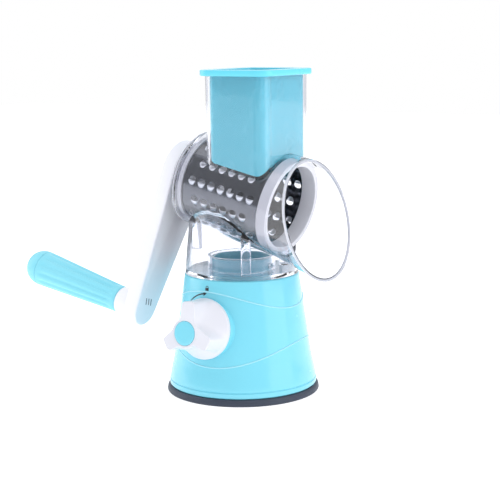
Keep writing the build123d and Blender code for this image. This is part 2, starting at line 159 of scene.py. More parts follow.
def turned(name, outline, space, steps=128, reshape=None):
    """Closed outline of (radius, height) in mm, spun round the local z of a space."""
    points, faces = [], []
    count = len(outline)
    for step in range(steps):
        angle = 2 * math.pi * step / steps
        for radius, height in outline:
            p = Vector((radius * math.cos(angle), radius * math.sin(angle), height)) * MM
            if reshape:
                p = reshape(p, angle)
            points.append(space @ p)
    for step in range(steps):
        a, b = step * count, (step + 1) % steps * count
        for i in range(count):
            j = (i + 1) % count
            faces.append((a + i, a + j, b + j, b + i))
    return mesh_from(name, points, faces)


upright = Matrix.Identity(4)
print("tools ready")

# %% [markdown]
# ## Finishes
# Real moulded plastic is never perfectly even: its skin has a very fine orange-peel ripple, and hands and
# washing leave faint matt patches. Both effects are shader groups, built once and used in every plastic
# with their own values. A group only gives out numbers; the shader itself stays in each material.

# %% Shader group: moulded skin


def new_group(name, inputs, outputs):
    """Node group with named float sockets; inputs carry their default value."""
    group = bpy.data.node_groups.new(name, "ShaderNodeTree")
    for label, value in inputs:
        socket = group.interface.new_socket(label, in_out="INPUT", socket_type="NodeSocketFloat")
        socket.default_value = value
    for label, kind in outputs:
        group.interface.new_socket(label, in_out="OUTPUT", socket_type=kind)
    start = group.nodes.new("NodeGroupInput")
    end = group.nodes.new("NodeGroupOutput")
    return group, start, end


def math_node(tree, operation, a, b):
    """Math node; a and b are sockets or numbers."""
    node = tree.nodes.new("ShaderNodeMath")
    node.operation = operation
    for index, value in enumerate((a, b)):
        if hasattr(value, "is_output"):
            tree.links.new(value, node.inputs[index])
        else:
            node.inputs[index].default_value = value
    return node.outputs[0]


def noise_node(tree, scale, detail, stretch=None):
    """Noise in object space; scale is a socket or a number per metre."""
    place = tree.nodes.new("ShaderNodeTexCoord")
    coordinates = place.outputs["Object"]
    if stretch:
        mapping = tree.nodes.new("ShaderNodeMapping")
        mapping.inputs["Scale"].default_value = stretch
        tree.links.new(coordinates, mapping.inputs["Vector"])
        coordinates = mapping.outputs["Vector"]
    noise = tree.nodes.new("ShaderNodeTexNoise")
    noise.inputs["Detail"].default_value = detail
    tree.links.new(coordinates, noise.inputs["Vector"])
    if hasattr(scale, "is_output"):
        tree.links.new(scale, noise.inputs["Scale"])
    else:
        noise.inputs["Scale"].default_value = scale
    return noise.outputs["Fac"]


moulded_skin, skin_in, skin_out = new_group(
    "moulded_skin",
    [("Ripple scale", 260.0), ("Grain scale", 2600.0), ("Grain share", 0.3)],
    [("Height", "NodeSocketFloat")],
)
ripple = noise_node(moulded_skin, skin_in.outputs["Ripple scale"], 1.0)
grain = noise_node(moulded_skin, skin_in.outputs["Grain scale"], 2.0)
grain_part = math_node(moulded_skin, "MULTIPLY", grain, skin_in.outputs["Grain share"])
height = math_node(moulded_skin, "ADD", ripple, grain_part)
moulded_skin.links.new(height, skin_out.inputs["Height"])
print("group", moulded_skin.name, "ready")

# %% Shader group: handling marks
handling, handling_in, handling_out = new_group(
    "handling_marks",
    [("Clean roughness", 0.2), ("Mark roughness", 0.35), ("Mark scale", 45.0)],
    [("Roughness", "NodeSocketFloat"), ("Mask", "NodeSocketFloat")],
)
patches = noise_node(handling, handling_in.outputs["Mark scale"], 5.0)
mask = handling.nodes.new("ShaderNodeMapRange")
mask.inputs["From Min"].default_value = 0.48
mask.inputs["From Max"].default_value = 0.72
handling.links.new(patches, mask.inputs["Value"])
blend_roughness = handling.nodes.new("ShaderNodeMix")
handling.links.new(mask.outputs["Result"], blend_roughness.inputs[0])
handling.links.new(handling_in.outputs["Clean roughness"], blend_roughness.inputs[2])
handling.links.new(handling_in.outputs["Mark roughness"], blend_roughness.inputs[3])
handling.links.new(blend_roughness.outputs[0], handling_out.inputs["Roughness"])
handling.links.new(mask.outputs["Result"], handling_out.inputs["Mask"])
print("group", handling.name, "ready")

# %% [markdown]
# A pigment is not one flat colour either. Moulded colour varies a little from where the plastic flowed,
# so each material mixes two close tints by a slow noise. Colours are written as they look on a screen,
# from 0 to 255, and turned into the linear values that a renderer works with.

# %% Plastic, clear plastic, rubber and steel


def tint(red, green, blue):
    """Screen colour 0 to 255 as linear RGBA."""
    def linear(value):
        value /= 255
        return value / 12.92 if value <= 0.04045 else ((value + 0.055) / 1.055) ** 2.4
    return (linear(red), linear(green), linear(blue), 1.0)


def new_material(name):
    material = bpy.data.materials.new(name)
    material.use_nodes = True
    tree = material.node_tree
    return material, tree, tree.nodes["Principled BSDF"]


def place_group(tree, group, **values):
    node = tree.nodes.new("ShaderNodeGroup")
    node.node_tree = group
    for label, value in values.items():
        node.inputs[label.replace("_", " ")].default_value = value
    return node


def add_bump(tree, shader, height_socket, strength, depth):
    bump = tree.nodes.new("ShaderNodeBump")
    bump.inputs["Strength"].default_value = strength
    bump.inputs["Distance"].default_value = depth
    tree.links.new(height_socket, bump.inputs["Height"])
    tree.links.new(bump.outputs["Normal"], shader.inputs["Normal"])


def two_tints(tree, shader, first, second, scale):
    """Base colour drifting slowly between two close tints."""
    drift = noise_node(tree, scale, 2.0)
    mix = tree.nodes.new("ShaderNodeMix")
    mix.data_type = "RGBA"
    mix.inputs[6].default_value = first
    mix.inputs[7].default_value = second
    tree.links.new(drift, mix.inputs[0])
    tree.links.new(mix.outputs[2], shader.inputs["Base Color"])


def plastic(name, first, second, clean, marks, ripple=260.0, grain=0.3, relief=0.05, coat=0.0):
    """Opaque moulded plastic."""
    material, tree, shader = new_material(name)
    two_tints(tree, shader, first, second, 30.0)
    skin = place_group(tree, moulded_skin, Ripple_scale=ripple, Grain_share=grain)
    add_bump(tree, shader, skin.outputs["Height"], relief, 0.0004)
    hands = place_group(tree, handling, Clean_roughness=clean, Mark_roughness=marks)
    tree.links.new(hands.outputs["Roughness"], shader.inputs["Roughness"])
    shader.inputs["IOR"].default_value = 1.5
    shader.inputs["Coat Weight"].default_value = coat
    shader.inputs["Coat Roughness"].default_value = 0.05
    return material


teal_gloss = plastic("teal_gloss", tint(116, 207, 226), tint(122, 211, 229), 0.2, 0.28, coat=0.4)
grip_teal = plastic(
    "grip_teal", tint(130, 214, 230), tint(136, 217, 233), 0.38, 0.46, ripple=500.0, relief=0.09
)
pusher_teal = plastic("pusher_teal", tint(96, 210, 230), tint(103, 214, 233), 0.24, 0.32, coat=0.3)
# Lighter copy of the base's teal for the wave beads: a painted highlight along them.
bead_teal_painted_highlight = plastic("bead_teal_painted_highlight", tint(156, 221, 235), tint(160, 224, 237), 0.22, 0.3)
white_satin = plastic("white_satin", tint(219, 219, 226), tint(224, 224, 230), 0.3, 0.38, relief=0.04)
arm_white = plastic("arm_white", tint(236, 236, 242), tint(240, 240, 245), 0.32, 0.4, relief=0.04)
inner_grey = plastic("inner_grey", tint(186, 189, 195), tint(196, 198, 203), 0.42, 0.55, relief=0.1)

clear_plastic, tree, shader = new_material("clear_plastic")
shader.inputs["Base Color"].default_value = tint(247, 248, 252)
shader.inputs["Transmission Weight"].default_value = 1.0
shader.inputs["IOR"].default_value = 1.46
shader.inputs["Metallic"].default_value = 0.0
wipes = place_group(tree, handling, Clean_roughness=0.02, Mark_roughness=0.05, Mark_scale=70.0)
tree.links.new(wipes.outputs["Roughness"], shader.inputs["Roughness"])
clear_skin = place_group(tree, moulded_skin, Ripple_scale=120.0, Grain_share=0.05)
add_bump(tree, shader, clear_skin.outputs["Height"], 0.04, 0.0004)
lamp_window = tree.nodes.new("ShaderNodeBsdfTransparent")
lamp_window.inputs["Color"].default_value = tint(251, 251, 254)
ray_kind = tree.nodes.new("ShaderNodeLightPath")
lamp_or_glass = tree.nodes.new("ShaderNodeMixShader")
tree.links.new(ray_kind.outputs["Is Shadow Ray"], lamp_or_glass.inputs[0])
tree.links.new(shader.outputs[0], lamp_or_glass.inputs[1])
tree.links.new(lamp_window.outputs[0], lamp_or_glass.inputs[2])
tree.links.new(lamp_or_glass.outputs[0], tree.nodes["Material Output"].inputs["Surface"])

rubber, tree, shader = new_material("suction_rubber")
two_tints(tree, shader, tint(44, 52, 68), tint(54, 62, 78), 60.0)
rubber_skin = place_group(tree, moulded_skin, Ripple_scale=900.0, Grain_share=0.8)
add_bump(tree, shader, rubber_skin.outputs["Height"], 0.2, 0.0003)
rubber_hands = place_group(tree, handling, Clean_roughness=0.5, Mark_roughness=0.66, Mark_scale=90.0)
tree.links.new(rubber_hands.outputs["Roughness"], shader.inputs["Roughness"])


def steel(name, first, second, clean, marks, stretch):
    """Metal with fine rolling marks drawn out along one direction."""
    material, tree, shader = new_material(name)
    two_tints(tree, shader, first, second, 140.0)
    shader.inputs["Metallic"].default_value = 1.0
    lines = noise_node(tree, 60.0, 3.0, stretch)
    add_bump(tree, shader, lines, 0.06, 0.0002)
    hands = place_group(tree, handling, Clean_roughness=clean, Mark_roughness=marks, Mark_scale=120.0)
    tree.links.new(hands.outputs["Roughness"], shader.inputs["Roughness"])
    return material


grater_steel = steel("grater_steel", tint(98, 101, 108), tint(114, 116, 123), 0.14, 0.22, (1.0, 8.0, 8.0))
# Lighter copy of the sheet's steel for the tooth domes: a painted highlight for their glints.
painted_glint_steel = steel("painted_glint_steel", tint(222, 224, 230), tint(232, 233, 238), 0.3, 0.36, (6.0, 6.0, 6.0))
screw_steel = steel("screw_steel", tint(168, 170, 176), tint(184, 186, 190), 0.28, 0.4, (4.0, 4.0, 4.0))
# Dark ink for the printed marks; on the arm the same finish is painted shade inside the slots.
print_ink_and_slot_shade = plastic("print_ink_and_slot_shade", tint(26, 30, 36), tint(34, 38, 44), 0.45, 0.6)
# Pale opaque finish for the housing rims: a painted highlight where light leaves the clear wall.
rim_painted_highlight = plastic("rim_painted_highlight", tint(222, 223, 230), tint(228, 229, 235), 0.3, 0.4)
print("materials:", sorted(m.name for m in bpy.data.materials))

finish_of_slot = {
    "rubber": rubber, "teal_plastic": teal_gloss, "white_plastic": white_satin, "clear_plastic": clear_plastic,
    "grater_steel": grater_steel, "fastener_steel": screw_steel, "inner_plastic": inner_grey,
}

# %% [markdown]
# ## The base
# The base is a round cone that flares into a foot with a fine groove above the suction pad. One closed
# outline, out and up the skin and back down the inside, gives it a real wall. The outline is softened,
# so the top and the foot have moulded edges.

# %% Base shell and its inside bosses
FOOT_R, TOP_R, TOP_Z = 55.5, 42.8, 89.5
SPIGOT_R, SPIGOT_TOP = 22.5, 101.0
SKIN_R_AT_29, SKIN_Z_29 = 51.6, 29.0
base_outline = [
    (54.6, 5.05), (FOOT_R, 5.8), (FOOT_R, 9.0), (54.8, 9.3), (54.8, 9.8), (55.3, 10.1),
    (54.6, 14.0), (53.6, 19.0), (52.5, 24.0), (SKIN_R_AT_29, SKIN_Z_29), (48.8, 48.2), (45.9, 68.2),
    (TOP_R + 0.15, TOP_Z - 1.0), (TOP_R - 1.2, TOP_Z), (SPIGOT_R - 0.1, TOP_Z), (SPIGOT_R - 2.1, TOP_Z), (0, TOP_Z),
    (0, TOP_Z - 2.4), (37.0, TOP_Z - 2.4), (40.6, 84.0), (49.2, 28.0), (50.8, 18.0), (50.8, 12.0),
    (52.2, 9.0), (52.2, 5.05),
]
base_mesh = turned("base_shell", soften(base_outline, 0.5, 3), upright, 192)
print("base shell:", len(base_mesh.polygons), "faces")


def skin_radius(z):
    """Outer radius in mm of the base's cone at height z in mm."""
    share = (z - SKIN_Z_29) / (TOP_Z - 1.0 - SKIN_Z_29)
    return SKIN_R_AT_29 + (TOP_R + 0.15 - SKIN_R_AT_29) * share


finish_piece("base_shell", base_mesh, "base", teal_gloss, ["base_housing"])

# %% [markdown]
# The spigot carries two slots that the clear housing's lugs turn into. It is drawn as a thin band of
# small faces with the slots left out, and a Solidify modifier gives the band its wall.

# %% Spigot with bayonet slots


def banded_tube(name, radius, heights, steps, is_open):
    """Band of faces round z, in mm, leaving out each face that is_open(angle, height) names."""
    points = []
    for step in range(steps):
        angle = 2 * math.pi * step / steps
        for z in heights:
            points.append(Vector((radius * math.cos(angle), radius * math.sin(angle), z)) * MM)
    faces = []
    rows = len(heights)
    for step in range(steps):
        middle = 360.0 * (step + 0.5) / steps
        for k in range(rows - 1):
            if is_open(middle, (heights[k] + heights[k + 1]) / 2):
                continue
            a, b = step * rows + k, (step + 1) % steps * rows + k
            faces.append((a, b, b + 1, a + 1))
    return mesh_from(name, points, faces)


def thicken(piece, thickness, offset=-1.0, bevel=0.0):
    """Gives a sheet its wall, and a small bevel to its new edges."""
    wall = piece.modifiers.new("wall", "SOLIDIFY")
    wall.thickness = thickness * MM
    wall.offset = offset
    wall.use_even_offset = True
    if bevel:
        edge = piece.modifiers.new("edge", "BEVEL")
        edge.width = bevel * MM
        edge.segments = 2
        edge.angle_limit = math.radians(50)
    return piece


spigot_mesh = banded_tube(
    "bayonet_spigot", SPIGOT_R, [TOP_Z - 0.2, 93.0, 97.0, SPIGOT_TOP], 180,
    lambda angle, z: 93 < z < 97 and angle % 180 < 44,
)
bayonet_spigot = finish_piece("bayonet_spigot", spigot_mesh, "base", teal_gloss)
thicken(bayonet_spigot, 2.2, bevel=0.25)

# %% Inside bosses, ribs and the spindle's bearing
for number in range(4):
    angle = math.radians(45 + 90 * number)
    spot = Matrix.Translation(Vector((41 * math.cos(angle), 41 * math.sin(angle), 0)) * MM)
    boss_outline = [(1.5, 8.4), (4.2, 8.4), (4.6, 34.0), (4.0, 36.0), (0, 36.0), (0, 22.0), (1.5, 22.0)]
    boss = turned(f"screw_boss_{number}", soften(boss_outline, 0.4, 2), spot, 32)
    finish_piece(f"screw_boss_{number}", boss, "base", teal_gloss)
SEAT_R, SEAT_TOP = 22.0, 48.7
seat_outline = [(5.06, 20.0), (8.5, 20.0), (8.5, 44.5), (SEAT_R, 41.5), (SEAT_R, SEAT_TOP), (5.06, SEAT_TOP)]
knob_seat = turned("knob_seat", soften(seat_outline, 0.6, 3), knob_space, 128)
finish_piece("knob_seat", knob_seat, "base", teal_gloss)

# %% [markdown]
# Two fine raised lines sweep round the base in long waves, one above the knob and one below. Each wave
# rises and falls twice in a turn, so a cosine of twice the angle draws it. The line itself is a low
# half-round bead swept along that path, because a real bead catches a highlight and a painted one does not.
# Its teal is also lighter than the base's, a painted highlight along the bead.

# %% Wave beads


def wave_bead(name, middle_z, swing, crest_at):
    """Half-round bead round the cone; heights in mm, crest_at in degrees from the knob side."""
    half_width, proud, steps = 0.62, 0.5, 360
    section = [(-1.0, -0.25), (-0.8, 0.45), (-0.35, 0.9), (0.0, 1.0), (0.35, 0.9), (0.8, 0.45), (1.0, -0.25)]
    points, faces = [], []
    for step in range(steps):
        angle = 360.0 * step / steps
        z = middle_z + swing * math.cos(math.radians(2 * (angle - crest_at)))
        for side, out in section:
            height = z + side * half_width
            radius = skin_radius(height) + out * proud
            turn = math.radians(angle)
            points.append(Vector((radius * math.sin(turn), -radius * math.cos(turn), height)) * MM)
    rows = len(section)
    for step in range(steps):
        a, b = step * rows, (step + 1) % steps * rows
        faces += [(a + k, a + (k + 1) % rows, b + (k + 1) % rows, b + k) for k in range(rows)]
    return finish_piece(name, mesh_from(name, points, faces), "base", bead_teal_painted_highlight)


wave_bead("wave_bead_upper", 74.1, 6.7, -2.0)
wave_bead("wave_bead_lower", 34.5, -7.6, 8.0)
print("two wave beads laid on the cone")

# %% [markdown]
# ## The lever knob
# The knob is a round disc that rises to a narrow crest with three lobes, so fingers find it from any
# side. One lobe is longer, like the tip of a lever. Every level of the body is the same kind of outline,
# blended from the disc's circle to the crest's lobes, so the piece is made as a stack of rings.

# %% Tool: skin over a closed chain of rings


def ring_skin(name, rings, space):
    """Mesh over rings of equal count; the last ring joins the first one again."""
    count = len(rings[0])
    points = [space @ (Vector(p) * MM) for ring in rings for p in ring]
    faces = []
    for level in range(len(rings)):
        a, b = level * count, (level + 1) % len(rings) * count
        for i in range(count):
            j = (i + 1) % count
            faces.append((a + i, a + j, b + j, b + i))
    return mesh_from(name, points, faces)


def circle_through(outline, centre, radius, height):
    """Ring of the given radius whose points face the points of an outline."""
    ring = []
    for x, y, _ in outline:
        away = Vector((x - centre[0], y - centre[1])).normalized() * radius
        ring.append((centre[0] + away.x, centre[1] + away.y, height))
    return ring


def drawn_in(outline, centre, inset, height):
    """Outline moved towards a centre by an inset, at a new height."""
    ring = []
    for x, y, _ in outline:
        away = Vector((x - centre[0], y - centre[1]))
        away *= max(away.length - inset, 0.01) / away.length
        ring.append((centre[0] + away.x, centre[1] + away.y, height))
    return ring


# %% Knob
KNOB_DISC_R, KNOB_CREST, BOSS_R, LOBE_HALF = 22.2, 71.0, 11.0, 6.0
KNOB_LOBES = ((214.0, 23.0), (94.0, 20.4), (334.0, 20.4))
EYE_R, EYE_OFFSET, EYE_ANGLE = 8.8, 3.6, 226.0
eye = (EYE_OFFSET * math.cos(math.radians(EYE_ANGLE)), EYE_OFFSET * math.sin(math.radians(EYE_ANGLE)))


def lobe_reach(angle, lobe_angle, reach):
    """Distance to the edge of one lobe, a long rounded block that starts at the axis."""
    turn = math.radians(angle - lobe_angle)
    if math.cos(turn) <= 0:
        return 0.0
    return ((math.cos(turn) / reach) ** 6 + (abs(math.sin(turn)) / LOBE_HALF) ** 6) ** (-1 / 6)


def crest_radius(angle):
    """Boss and lobes joined with soft inner corners."""
    turn = math.radians(angle - EYE_ANGLE)
    boss = EYE_OFFSET * math.cos(turn) + math.sqrt(BOSS_R ** 2 - (EYE_OFFSET * math.sin(turn)) ** 2)
    return sum(r ** 9 for r in [boss] + [lobe_reach(angle, at, reach) for at, reach in KNOB_LOBES]) ** (1 / 9)


def knob_ring(rise, steps=240):
    """Body outline; rise goes from 0 at the disc to 1 at the crest."""
    ring = []
    for step in range(steps):
        angle = 360.0 * step / steps
        crest = crest_radius(angle)
        radius = crest + (KNOB_DISC_R - 0.3 - crest) * (1 - rise) ** 1.7
        turn = math.radians(angle)
        ring.append((radius * math.cos(turn), radius * math.sin(turn), 52.0 + rise * (KNOB_CREST - 52.0)))
    return ring


crest_ring = knob_ring(1.0)
axis_spot = (0.0, 0.0)
knob_rings = [
    circle_through(crest_ring, axis_spot, r, w)
    for r, w in ((5.0, 49.0), (21.5, 49.0), (22.0, 49.15), (22.2, 49.6), (22.2, 51.3), (22.08, 51.75))
]
knob_rings += [knob_ring(rise) for rise in (0.0, 0.03, 0.08, 0.15, 0.24, 0.34, 0.46, 0.6, 0.75, 0.88, 0.95)]
knob_rings += [
    drawn_in(crest_ring, eye, inset, KNOB_CREST - drop)
    for inset, drop in ((0.04, 0.6), (0.15, 0.32), (0.35, 0.12), (0.65, 0.0), (0.8, 0.0))
]
recess = ((9.2, 71.0), (9.05, 70.95), (8.92, 70.8), (8.9, 69.0))
knob_rings += [circle_through(crest_ring, eye, r, w) for r, w in recess]
screw_well = ((3.6, 69.0), (3.6, 60.2), (1.7, 60.0), (1.7, 58.4), (5.0, 58.4))
knob_rings += [circle_through(crest_ring, axis_spot, r, w) for r, w in screw_well]
knob_mesh = ring_skin("lever_knob", knob_rings, knob_space)
finish_piece("lever_knob", knob_mesh, "knob", white_satin, ["knob"])
print("knob rings:", len(knob_rings), "crest reach:", round(max(map(crest_radius, range(360))), 1), "mm")

# %% Knob insert
eye_space = knob_space @ Matrix.Translation(Vector((eye[0], eye[1], 0)) * MM)
insert_outline = [
    (0, 68.6), (EYE_R, 68.6), (EYE_R, 71.0), (EYE_R - 0.5, 71.5), (EYE_R - 2.0, 71.6), (0, 71.6),
]
insert_mesh = turned("knob_eye", soften(insert_outline, 0.35, 4), eye_space, 96)
finish_piece("knob_eye", insert_mesh, "knob", teal_gloss, ["knob_insert"])

# %% [markdown]
# A curved arrow over the knob shows which way locks it, and a small padlock stands above the arrow. Such
# marks are pad-printed, a few hundredths of a millimetre thick, so each is a thin strip laid on the cone.
# A strip point is pushed along the knob's axis until it meets the cone.

# %% Printed marks


def laid_on_cone(x, y, proud):
    """World point above (x, y) of the knob's plane, on the base's skin, in metres."""
    w = 48.0
    for _ in range(8):
        spot = knob_space @ (Vector((x, y, w)) * MM)
        radial = math.hypot(spot.x, spot.y) / MM
        w += skin_radius(spot.z / MM) + proud - radial
    return spot


def printed_patch(name, rows):
    """Strip between rows of (x, y) points in the knob's plane, printed on the cone."""
    across, points, faces = len(rows[0]), [], []
    for row in rows:
        points += [laid_on_cone(x, y, 0.09) for x, y in row]
    for i in range(len(rows) - 1):
        for j in range(across - 1):
            a = i * across + j
            faces.append((a, a + 1, a + across + 1, a + across))
    mark = finish_piece(name, mesh_from(name, points, faces), "base", print_ink_and_slot_shade)
    mark.modifiers.new("film", "SOLIDIFY").thickness = 0.06 * MM
    return mark


def on_arc(radius, degrees, centre=(0.0, 0.0)):
    turn = math.radians(degrees)
    return (centre[0] + radius * math.cos(turn), centre[1] + radius * math.sin(turn))


ARROW_R = 25.4
arrow_rows = []
for step in range(25):
    share = step / 24
    angle = 137.0 - 38.0 * share
    half = 0.15 + 0.3 * min(1.0, share * 3)
    arrow_rows.append([on_arc(ARROW_R - half, angle), on_arc(ARROW_R + half, angle)])
printed_patch("arrow_line", arrow_rows)
head_rows = []
for step in range(9):
    share = step / 8
    angle = 99.5 - 7.0 * share
    half = 1.5 * (1 - share) + 0.03
    head_rows.append([on_arc(ARROW_R - half, angle), on_arc(ARROW_R + half, angle)])
printed_patch("arrow_head", head_rows)
LOCK_X, LOCK_Y = -1.2, 28.6
padlock_rows = [[(LOCK_X + x, LOCK_Y + y) for x in (-1.5, 0.0, 1.5)] for y in (-1.1, -0.4, 0.4, 1.0)]
printed_patch("padlock_body", padlock_rows)
shackle_middle = (LOCK_X, LOCK_Y + 1.3)
shackle = [[on_arc(r, a, shackle_middle) for r in (0.75, 1.15)] for a in range(-15, 196, 15)]
printed_patch("padlock_shackle", shackle)

# %% [markdown]
# ## The grating drum
# The drum is a rolled steel sheet with rows of stamped teeth. A punch pushes each tooth out as half a
# dome with an open mouth that faces the food, so the dome's rim is the cutting edge. Here one tooth is a
# small patch of mesh with a hole and a half dome, repeated in staggered rows, and the sheet's thickness
# is added afterwards, because stamped sheet is the same thickness everywhere. The domes get a much
# lighter copy of the sheet's steel, a painted highlight for the glints they catch from the lamps.

# %% Sheet and teeth
SHEET_REAR, SHEET_FRONT, SHEET_R_REAR, SHEET_R_FRONT = -77.3, -8.5, 31.0, 33.0
TOOTH_ROWS, TOOTH_PITCH, FIRST_TOOTH = 14, 8.72, -69.2
HOLE_R, DOME_HALF, DOME_LENGTH, DOME_HEIGHT = 2.8, 3.3, 3.9, 1.65
ROW_HEIGHT = 2 * math.pi * 32.0 / TOOTH_ROWS
ROW_TURN = 360.0 / TOOTH_ROWS


def sheet_radius(s):
    """Outside radius of the sheet at s along the axle."""
    return SHEET_R_REAR + (SHEET_R_FRONT - SHEET_R_REAR) * (s - SHEET_REAR) / (SHEET_FRONT - SHEET_REAR)


def sheet_point(turn, s, around, height=0.0):
    """Point in mm in the axle's space: s along the axle, around in mm from the row's middle line."""
    radius = sheet_radius(s) + height
    angle = math.radians(90 + turn + around / ROW_HEIGHT * ROW_TURN)
    return Vector((radius * math.cos(angle), radius * math.sin(angle), s))


def cell_border():
    """The 16 points round a tooth's patch, in shares of half its width and height."""
    side = [(1, k / 2) for k in range(-2, 2)]
    return side + [(-v, u) for u, v in side] + [(-u, -v) for u, v in side] + [(v, -u) for u, v in side]


def tooth_patch(turn, centre):
    """Rings from the patch's border to the hole, then the half dome over its lower half."""
    border = [(u * TOOTH_PITCH / 2, v * ROW_HEIGHT / 2) for u, v in cell_border()]
    points, faces = [], []

    def ring_at(size_along, size_up, size_down, share):
        ring = []
        for bu, bv in border:
            angle = math.atan2(bv * 0.7, bu)
            u = size_along * math.cos(angle)
            v = (size_down if bv > 0 else size_up) * math.sin(angle)
            ring.append((bu + (u - bu) * share, bv + (v - bv) * share))
        return ring

    rings = [border, ring_at(DOME_HALF, HOLE_R, DOME_LENGTH, 0.55)]
    rings.append(ring_at(DOME_HALF + 0.35, HOLE_R + 0.35, DOME_LENGTH + 0.4, 1.0))
    rings.append(ring_at(DOME_HALF, HOLE_R, DOME_LENGTH, 1.0))
    for ring in rings:
        points += [sheet_point(turn, centre + u, v) for u, v in ring]
    for level in range(len(rings) - 1):
        a, b = level * 16, (level + 1) * 16
        faces += [(a + i, a + (i + 1) % 16, b + (i + 1) % 16, b + i) for i in range(16)]
    lower = sorted((i for i, (u, v) in enumerate(rings[-1]) if v > -1e-6), key=lambda i: -rings[-1][i][0])
    levels = [[(3 * 16 + i) for i in lower]]
    for climb in (22.5, 45.0, 67.5, 90.0):
        start = len(points)
        for i in lower:
            u, v = rings[-1][i]
            depth = v * math.cos(math.radians(climb))
            height = DOME_HEIGHT * v / DOME_LENGTH * math.sin(math.radians(climb))
            points.append(sheet_point(turn, centre + u, depth, height))
        levels.append(list(range(start, start + len(lower))))
    for low, high in zip(levels[:-1], levels[1:]):
        faces += [(low[k], low[k + 1], high[k + 1], high[k]) for k in range(len(lower) - 1)]
    return points, faces


def plain_patch(turn, start, end):
    """Plain stretch of one row between two places along the axle."""
    points = [sheet_point(turn, s, v * ROW_HEIGHT / 2) for s in (start, end) for v in (-1, -0.5, 0, 0.5, 1)]
    return points, [(k, k + 1, k + 6, k + 5) for k in range(4)]


sheet_points, sheet_faces = [], []


def add_patch(patch):
    points, faces = patch
    start = len(sheet_points)
    sheet_points.extend(axle_space @ (p * MM) for p in points)
    sheet_faces.extend(tuple(start + i for i in face) for face in faces)


QUARTER = TOOTH_PITCH / 4
GRID_START = FIRST_TOOTH - 2 * QUARTER
for row in range(TOOTH_ROWS):
    turn = 55.0 + row * ROW_TURN
    teeth, shift = (7, 0) if row % 2 else (6, 2)
    for tooth in range(teeth):
        add_patch(tooth_patch(turn, FIRST_TOOTH + shift * QUARTER + tooth * TOOTH_PITCH))
    stops = [SHEET_REAR] + [GRID_START + k * QUARTER for k in range(29)] + [SHEET_FRONT]
    first, last = GRID_START + shift * QUARTER, GRID_START + (28 - shift) * QUARTER
    for low, high in zip(stops[:-1], stops[1:]):
        if high < first + 1e-6 or low > last - 1e-6:
            add_patch(plain_patch(turn, low, high))
sheet_mesh = mesh_from("toothed_sheet", sheet_points, sheet_faces, 2e-5)
toothed_sheet = finish_piece(
    "toothed_sheet", sheet_mesh, "drum", grater_steel, ["drum_sheet"]
)
# Faces raised into the domes take the lighter steel: a painted highlight on the teeth.
sheet_mesh.materials.append(painted_glint_steel)
for face in sheet_mesh.polygons:
    spot = axle_space.inverted() @ face.center / MM
    if math.hypot(spot.x, spot.y) > sheet_radius(spot.z) + 0.2:
        face.material_index = 1
thicken(toothed_sheet, 0.5, offset=-1.0)
rounder = toothed_sheet.modifiers.new("rounder", "SUBSURF")
rounder.levels = rounder.render_levels = 1
print("sheet faces:", len(sheet_mesh.polygons))

# %% [markdown]
# ## The grip
# The grip is a tapering sleeve with twelve finger flutes and a smooth domed cap. The flutes are not cut
# as separate grooves: one function draws the skin in along twelve lines and fades out at both ends, so
# the ends of the flutes are rounded like a cutter's run-out.

# %% Grip sleeve and cap
GRIP_START, GRIP_SPLIT, GRIP_END = -116.2, -195.0, -210.6
FLUTES, FLUTE_DEPTH = 12, 1.15


def fluted(point, angle):
    """Draws the outer skin in along the flutes; point is in metres in the grip's space."""
    radius = math.hypot(point.x, point.y) / MM
    s = point.z / MM
    if radius < 9.0:
        return point
    fade = min(1.0, max(0.0, (GRIP_START - 3.5 - s) / 4.0)) * min(1.0, max(0.0, (s - GRIP_SPLIT - 2.0) / 5.0))
    groove = (0.5 + 0.5 * math.cos(FLUTES * angle)) ** 1.6
    scale = 1 - FLUTE_DEPTH * fade * groove / radius
    return Vector((point.x * scale, point.y * scale, point.z))


grip_outline = [(3.1, GRIP_START), (9.2, GRIP_START), (9.95, GRIP_START - 0.25), (10.3, GRIP_START - 1.0)]
skin_stops = [(GRIP_START, 10.3), (-135.0, 11.1), (-160.0, 12.3), (-185.0, 13.5), (GRIP_SPLIT, 13.9)]
for (s0, r0), (s1, r1) in zip(skin_stops[:-1], skin_stops[1:]):
    for k in range(1, 9):
        s = s0 + (s1 - s0) * k / 8
        if s < GRIP_START - 1.5:
            grip_outline.append((r0 + (r1 - r0) * k / 8, s))
grip_outline[-1] = (13.9, GRIP_SPLIT + 0.3)
grip_outline += [(13.6, GRIP_SPLIT), (7.6, GRIP_SPLIT), (7.6, -190.2), (3.1, -190.2)]
grip_mesh = turned("grip_sleeve", grip_outline, grip_space, 192, fluted)
finish_piece("grip_sleeve", grip_mesh, "grip", grip_teal, ["grip"])

dome_outline = [(0, GRIP_SPLIT - 0.15), (13.55, GRIP_SPLIT - 0.15), (13.85, GRIP_SPLIT - 0.45)]
for k in range(25):
    turn = math.radians(90 * k / 24)
    dome_radius = 13.9 * math.cos(turn) ** 0.9 if k < 24 else 0.0
    dome_outline.append((dome_radius, GRIP_SPLIT - 1.6 - 14.0 * math.sin(turn)))
dome_mesh = turned("grip_dome", dome_outline, grip_space, 96)
finish_piece("grip_dome", dome_mesh, "grip", grip_teal, ["grip_cap"])
print("grip from", GRIP_START, "to", GRIP_END, "mm along the axle")

# %% [markdown]
# ## The crank arm
# The arm is a flat tapered plate, the shape of a belt round a large and a small wheel, with softly
# rounded edges and a short round elbow for the grip. Shrinking both wheels by the same amount moves the
# outline in by that amount, which gives the rounded edge its rings.

# %% Arm
ARM_FRONT, ARM_BACK, ARM_HUB_R, ARM_TIP_R = -91.9, -104.0, 24.0, 13.2
arm_tip = (grip_centre.x / MM, grip_centre.y / MM)
arm_length = math.hypot(*arm_tip)
arm_heading = math.atan2(arm_tip[1], arm_tip[0])
belt_turn = math.acos((ARM_HUB_R - ARM_TIP_R) / arm_length)


